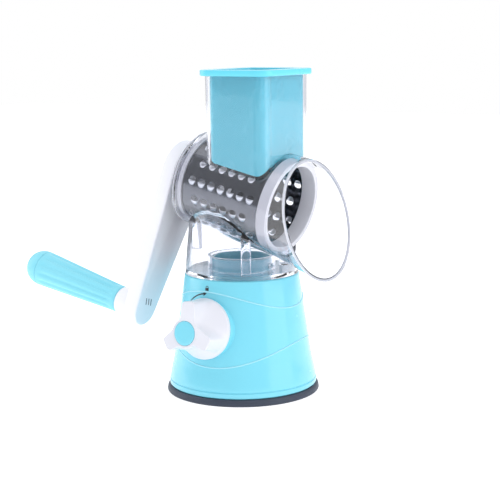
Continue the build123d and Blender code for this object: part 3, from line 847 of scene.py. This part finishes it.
def arm_outline(inset, height):
    """Belt outline round hub and tip, both shrunk by the inset."""
    ring = []
    for k in range(61):
        angle = arm_heading + belt_turn + (2 * math.pi - 2 * belt_turn) * k / 60
        radius = ARM_HUB_R - inset
        ring.append((radius * math.cos(angle), radius * math.sin(angle), height))
    for k in range(31):
        angle = arm_heading - belt_turn + 2 * belt_turn * k / 30
        radius = ARM_TIP_R - inset
        ring.append((arm_tip[0] + radius * math.cos(angle), arm_tip[1] + radius * math.sin(angle), height))
    return ring


belt = arm_outline(0.0, 0.0)
arm_rings = [circle_through(belt, axis_spot, 5.7, ARM_FRONT)]
edge_steps = [(1.9, 0.0), (1.5, 0.0), (0.9, 0.12), (0.45, 0.42), (0.12, 0.9), (0.0, 1.5)]
arm_rings += [arm_outline(inset, ARM_FRONT - drop) for inset, drop in edge_steps]
arm_rings += [arm_outline(inset, ARM_BACK + drop) for inset, drop in reversed(edge_steps)]
cap_recess = ((11.3, ARM_BACK), (11.1, ARM_BACK + 0.2), (11.1, ARM_BACK + 1.8), (5.7, ARM_BACK + 1.8))
arm_rings += [circle_through(belt, axis_spot, r, s) for r, s in cap_recess]
arm_mesh = ring_skin("arm_plate", arm_rings, axle_space)
finish_piece("arm_plate", arm_mesh, "crank", arm_white, ["crank_arm"])
elbow_outline = [
    (3.05, ARM_BACK + 2.0), (10.6, ARM_BACK + 2.0), (10.6, -115.0), (9.8, -116.0), (3.05, -116.0),
]
elbow_mesh = turned("arm_elbow", soften(elbow_outline, 0.6, 4), grip_space, 96)
finish_piece("arm_elbow", elbow_mesh, "crank", arm_white)
print("arm length:", round(arm_length, 1), "mm")

# %% [markdown]
# Three short slanting slots sit near the tip, on the side towards the drum. They are only a millimetre
# wide, so each is a thin dark strip with rounded ends, flush with the face: painted shade for the inside of the
# slot.

# %% Slots
along = Vector(arm_tip).normalized()
sideways = Vector((-along.y, along.x))
for number in range(3):
    middle = Vector(arm_tip) - along * 6.0 + sideways * (3.2 * (number - 1))
    lean = (along * math.cos(math.radians(20)) + sideways * math.sin(math.radians(20)))
    flat = Vector((-lean.y, lean.x))
    outline = []
    for k in range(20):
        angle = 2 * math.pi * k / 20
        end = 2.3 if math.cos(angle) > 0 else -2.3
        spot = middle + lean * (end + 0.45 * math.cos(angle)) + flat * (0.45 * math.sin(angle))
        outline.append((spot.x, spot.y, ARM_FRONT + 0.04))
    under = [(x, y, ARM_FRONT - 0.4) for x, y, _ in outline]
    points = [axle_space @ (Vector(p) * MM) for p in outline + under]
    slot_faces = [(k, (k + 1) % 20, 20 + (k + 1) % 20, 20 + k) for k in range(20)]
    slot_faces += [tuple(range(20)), tuple(range(39, 19, -1))]
    slot_mesh = mesh_from(f"arm_slot_{number}", points, slot_faces)
    # Dark strip standing for the slot: painted shade.
    finish_piece(f"arm_slot_{number}", slot_mesh, "crank", print_ink_and_slot_shade)
print("three slots on the arm")

# %% [markdown]
# ## Rubber foot, pusher and rings
# The foot is one soft rubber moulding with a rounded lip that flattens on the table, so it is turned from
# its section. The pusher is a square cup with a flat rim. Its outlines are rounded squares, so it is a
# stack of rings like the knob. On the real pusher the whole lower edge arches over the drum. Here only the
# ring points do: a straight side has no points between its corners, so the lower edge of each end wall is
# straight and reaches about 7 mm into the drum at the middle. Points along the sides would mend that.

# %% Suction foot
foot_outline = [
    (0, 0), (57.0, 0), (57.5, 0.9), (56.9, 3.7), (55.9, 5.0), (53.6, 5.0), (52.0, 3.4), (30.0, 3.2),
    (14.5, 3.6),
    (12.5, 5.4), (12.5, 11.0), (5.0, 11.0), (5.0, 9.6), (9.6, 9.6), (9.6, 3.4), (0, 3.4),
]
foot_mesh = turned("suction_foot", soften(foot_outline, 0.7, 4), upright, 192)
finish_piece("suction_foot", foot_mesh, "base", rubber, ["suction_cup"])

# %% Pusher
PUSHER_X, PUSHER_TOP, RIM_DEPTH = 14.8, 240.0, 4.5
PUSHER_ROOM, PUSHER_FLOOR = 35.8, 37.8
axle_slope = math.atan2(-axle_out.z, axle_out.x)


def rounded_square(half_x, half_y, corner, height, steps=10):
    """Rounded rectangle round the chute's middle; height is a number or a function of (x, y)."""
    ring = []
    corner = min(corner, half_x, half_y)
    for quarter, (sx, sy) in enumerate(((1, 1), (-1, 1), (-1, -1), (1, -1))):
        for k in range(steps + 1):
            angle = math.radians(90 * quarter + 90 * k / steps)
            x = PUSHER_X + sx * (half_x - corner) + corner * math.cos(angle)
            y = sy * (half_y - corner) + corner * math.sin(angle)
            ring.append((x, y, height(x, y) if callable(height) else height))
    return ring


def over_drum(radius, lift=0.0):
    """Height of a cylinder of that radius about the axle, above each point (x, y), plus a lift."""
    start_x, start_z = drum_mouth.x / MM, drum_mouth.z / MM

    def height(x, y):
        on_axle = start_z - math.tan(axle_slope) * (x - start_x) + lift
        return on_axle + math.sqrt(radius ** 2 - y * y) / math.cos(axle_slope)

    return height


def square_ring(half_x, half_y, corner, height, inset=0.0):
    return rounded_square(half_x - inset, half_y - inset, max(corner - inset, 0.05), height)


edge_curve = [(0.9, 0.0), (0.5, 0.1), (0.22, 0.28), (0.06, 0.55), (0.0, 0.9)]
pusher_rings = [square_ring(0.05, 0.05, 0.02, over_drum(PUSHER_FLOOR))]
floor_steps = (0.3, 0.6, 0.85, 1.0)
pusher_rings += [square_ring(22.3 * s, 26.8 * s, 5.4 * s, over_drum(PUSHER_FLOOR)) for s in floor_steps]
pusher_rings += [square_ring(22.3, 26.8, 5.4, over_drum(PUSHER_FLOOR, 0.6))]
pusher_rings += [square_ring(22.3, 26.8, 5.4, PUSHER_TOP - 0.6)]
pusher_rings += [square_ring(22.3, 26.8, 5.4, PUSHER_TOP - 0.15, -0.15)]
pusher_rings += [square_ring(22.3, 26.8, 5.4, PUSHER_TOP, -0.6)]
pusher_rings += [square_ring(30.7, 35.0, 11.0, PUSHER_TOP - drop, inset) for inset, drop in edge_curve]
low_rim = PUSHER_TOP - RIM_DEPTH
pusher_rings += [square_ring(30.7, 35.0, 11.0, low_rim + drop, inset) for inset, drop in reversed(edge_curve)]
pusher_rings += [square_ring(24.2, 28.7, 7.0, low_rim, -0.4), square_ring(24.2, 28.7, 7.0, low_rim - 0.4)]
pusher_rings += [square_ring(24.2, 28.7, 7.0, over_drum(PUSHER_ROOM, 0.6))]
under_side = over_drum(PUSHER_ROOM)
pusher_rings += [square_ring(24.2 * s, 28.7 * s, 7.0 * s, under_side) for s in reversed(floor_steps)]
pusher_rings += [square_ring(0.05, 0.05, 0.02, over_drum(PUSHER_ROOM))]
push_cup = mesh_from("push_cup", [Vector(p) * MM for ring in pusher_rings for p in ring], [
    (level * 44 + i, level * 44 + (i + 1) % 44, (level + 1) * 44 + (i + 1) % 44, (level + 1) * 44 + i)
    for level in range(len(pusher_rings) - 1) for i in range(44)
] + [tuple(range(43, -1, -1)), tuple((len(pusher_rings) - 1) * 44 + i for i in range(44))])
finish_piece("push_cup", push_cup, "pusher", pusher_teal, ["pusher"])
push_cup.set_sharp_from_angle(angle=math.radians(35))
print("pusher rings:", len(pusher_rings))

# %% Ring at the drum's mouth
drum_ring_outline = [
    (30.5, -12.0), (32.2, -12.0), (32.2, -8.5), (34.3, -8.5), (34.3, 0.0), (30.5, 0.0),
]
ring_mesh = turned("drum_ring", soften(drum_ring_outline, 0.5, 4), axle_space, 160)
finish_piece("drum_ring", ring_mesh, "drum", white_satin, ["drum_front_ring"])

# %% [markdown]
# The two open rims of the clear housing look white, not clear: light runs inside the wall and leaves at the
# rounded edge. A fine pale, opaque bead inside the wall is a painted highlight for that line of light.

# %% Hazy rims
MOUTH_CENTRE, MOUTH_R, MOUTH_LEAN = Vector((66.76, 0, 132.48)) * MM, 44.5, math.radians(12.6)
mouth_out = Vector((math.cos(MOUTH_LEAN), 0, math.sin(MOUTH_LEAN)))
mouth_space = local_space(MOUTH_CENTRE, Vector((0, 1, 0)), mouth_out)


def rim_bead(name, space, radius, s, thickness):
    ring = []
    for k in range(12):
        angle = 2 * math.pi * k / 12
        ring.append((radius + thickness * math.cos(angle), s + thickness * math.sin(angle)))
    return finish_piece(name, turned(name, ring, space, 128), "housing", rim_painted_highlight)


rim_bead("mouth_edge", mouth_space, MOUTH_R - 1.0, -1.0, 0.8)
rim_bead("rear_edge", axle_space, 34.5, -82.8, 0.7)
print("two hazy rims")

# %% [markdown]
# ## Finishes on the engineering model
# The remaining pieces of the engineering model already have their true shape, so they only need their
# finish. Each sub-part of the record names its material slot, and the slot picks the finish.

# %% Finish of every piece of the model
slot_of_node = {part["node"]: part["material_slot"] for part in frame["record"]["subparts"]}
for name, node in frame["nodes"].items():
    for place in node.material_slots:
        place.material = finish_of_slot[slot_of_node[name]]
print("finishes given to", len(frame["nodes"]), "model pieces")

# %% [markdown]
# ## Studio
# A pale floor and a few large soft panels are the usual table-top studio. Large panels matter more than
# many: each one is seen as a long soft highlight down the round base, and the gaps between them give the
# steel its dark streaks.

# %% Floor
FLOOR_HALF = 3.0
floor_mesh = bpy.data.meshes.new("floor")
floor_corners = [(x * FLOOR_HALF, y * FLOOR_HALF, 0) for x, y in ((-1, -1), (1, -1), (1, 1), (-1, 1))]
floor_mesh.from_pydata(floor_corners, [], [(0, 1, 2, 3)])
floor = bpy.data.objects.new("floor", floor_mesh)
bpy.context.scene.collection.objects.link(floor)
floor_paint, tree, shader = new_material("floor_paint")
two_tints(tree, shader, tint(240, 240, 241), tint(243, 243, 244), 3.0)
shader.inputs["Roughness"].default_value = 0.45
shader.inputs["Emission Color"].default_value = (1, 1, 1, 1)
shader.inputs["Emission Strength"].default_value = 0.55
floor_mesh.materials.append(floor_paint)
floor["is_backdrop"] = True

# %% Surroundings
world = bpy.data.worlds.new("studio")
bpy.context.scene.world = world
world.use_nodes = True
sky = world.node_tree
plain_white = sky.nodes["Background"]
plain_white.inputs["Color"].default_value = (1, 1, 1, 1)
plain_white.inputs["Strength"].default_value = 1.0
dim_room = sky.nodes.new("ShaderNodeBackground")
dim_room.inputs["Color"].default_value = (0.93, 0.95, 1.0, 1)
ray = sky.nodes.new("ShaderNodeLightPath")
lit_inside = math_node(sky, "GREATER_THAN", ray.outputs["Diffuse Depth"], 0.5)
few_walls = math_node(sky, "LESS_THAN", ray.outputs["Transmission Depth"], 2.5)
fill = math_node(sky, "MULTIPLY", lit_inside, 0.5)
edge_glow = math_node(sky, "MULTIPLY", math_node(sky, "SUBTRACT", 1.0, lit_inside), 0.5)
many_mirrors = math_node(sky, "GREATER_THAN", ray.outputs["Glossy Depth"], 1.5)
edge_glow = math_node(sky, "MULTIPLY", edge_glow, math_node(sky, "MAXIMUM", few_walls, many_mirrors))
extra_light = math_node(sky, "ADD", fill, edge_glow)
sky.links.new(math_node(sky, "ADD", extra_light, 0.32), dim_room.inputs["Strength"])
bounces = math_node(sky, "ADD", ray.outputs["Glossy Depth"], ray.outputs["Diffuse Depth"])
seen = math_node(sky, "LESS_THAN", bounces, 0.5)
choose = sky.nodes.new("ShaderNodeMixShader")
sky.links.new(seen, choose.inputs[0])
sky.links.new(dim_room.outputs[0], choose.inputs[1])
sky.links.new(plain_white.outputs[0], choose.inputs[2])
sky.links.new(choose.outputs[0], sky.nodes["World Output"].inputs["Surface"])
bpy.context.scene.view_settings.view_transform = "Standard"
bpy.context.scene.cycles.max_bounces = 24
bpy.context.scene.cycles.glossy_bounces = 12
bpy.context.scene.cycles.transmission_bounces = 24
bpy.context.scene.cycles.transparent_max_bounces = 24
print("room set")

# %% Camera
CAMERA_AZIMUTH, CAMERA_DISTANCE, CAMERA_HEIGHT = 33.94, 0.9594, 0.2663
CAMERA_PITCH, CAMERA_YAW, CAMERA_ROLL, CAMERA_LENS = 9.53, -0.377, -0.706, 93.5


def bearing(azimuth):
    """Unit direction in the floor plane; azimuth 0 is the knob side and 90 the mouth side."""
    turn = math.radians(azimuth)
    return Vector((math.sin(turn), -math.cos(turn), 0))


look_turn, pitch, roll = (math.radians(a) for a in (CAMERA_AZIMUTH + CAMERA_YAW, CAMERA_PITCH, CAMERA_ROLL))
level = math.cos(pitch)
look = Vector((-math.sin(look_turn) * level, math.cos(look_turn) * level, -math.sin(pitch)))
right = Vector((math.cos(look_turn), math.sin(look_turn), 0))
over = right.cross(look)
rolled_right = math.cos(roll) * right + math.sin(roll) * over
rolled_up = -math.sin(roll) * right + math.cos(roll) * over
camera_data = bpy.data.cameras.new("studio_camera")
camera_data.lens = CAMERA_LENS
camera_data.sensor_width = 36
camera = bpy.data.objects.new("studio_camera", camera_data)
bpy.context.scene.collection.objects.link(camera)
camera_place = bearing(CAMERA_AZIMUTH) * CAMERA_DISTANCE + Vector((0, 0, CAMERA_HEIGHT))
camera.matrix_world = (
    Matrix.Translation(camera_place) @ Matrix((rolled_right, rolled_up, -look)).transposed().to_4x4()
)
bpy.context.scene.camera = camera
print("camera at", tuple(round(v, 3) for v in camera_place))

# %% Soft panels


def soft_panel(name, azimuth, elevation, distance, width, height, power):
    """Area light aimed at the middle of the object."""
    data = bpy.data.lights.new(name, "AREA")
    data.shape = "RECTANGLE"
    data.size, data.size_y = width, height
    data.energy = power
    light = bpy.data.objects.new(name, data)
    bpy.context.scene.collection.objects.link(light)
    up = math.radians(elevation)
    away = bearing(azimuth) * math.cos(up) + Vector((0, 0, math.sin(up)))
    middle = (cad_low + cad_high) / 2
    light.location = middle + away * distance
    light.rotation_mode = "QUATERNION"
    light.rotation_quaternion = away.to_track_quat("Z", "Y")
    return light


soft_panel("right_panel", CAMERA_AZIMUTH + 63, 22, 1.1, 0.9, 1.1, 3.4)
soft_panel("left_panel", CAMERA_AZIMUTH - 105, 25, 1.1, 0.8, 1.1, 2.7)
soft_panel("top_panel", CAMERA_AZIMUTH, 80, 1.1, 1.2, 1.2, 3.5)
soft_panel("back_panel", CAMERA_AZIMUTH + 180, 30, 1.3, 1.4, 1.0, 2.0)

# %% [markdown]
# Looks never change the size of the thing. Both boxes are written down, so they can be compared.

# %% Sizes
visual_low, visual_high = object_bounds()
for label, model, shown in (("low", cad_low, visual_low), ("high", cad_high, visual_high)):
    print(label, "corner, visual minus model, in mm:", [round((s - m) / MM, 2) for m, s in zip(model, shown)])
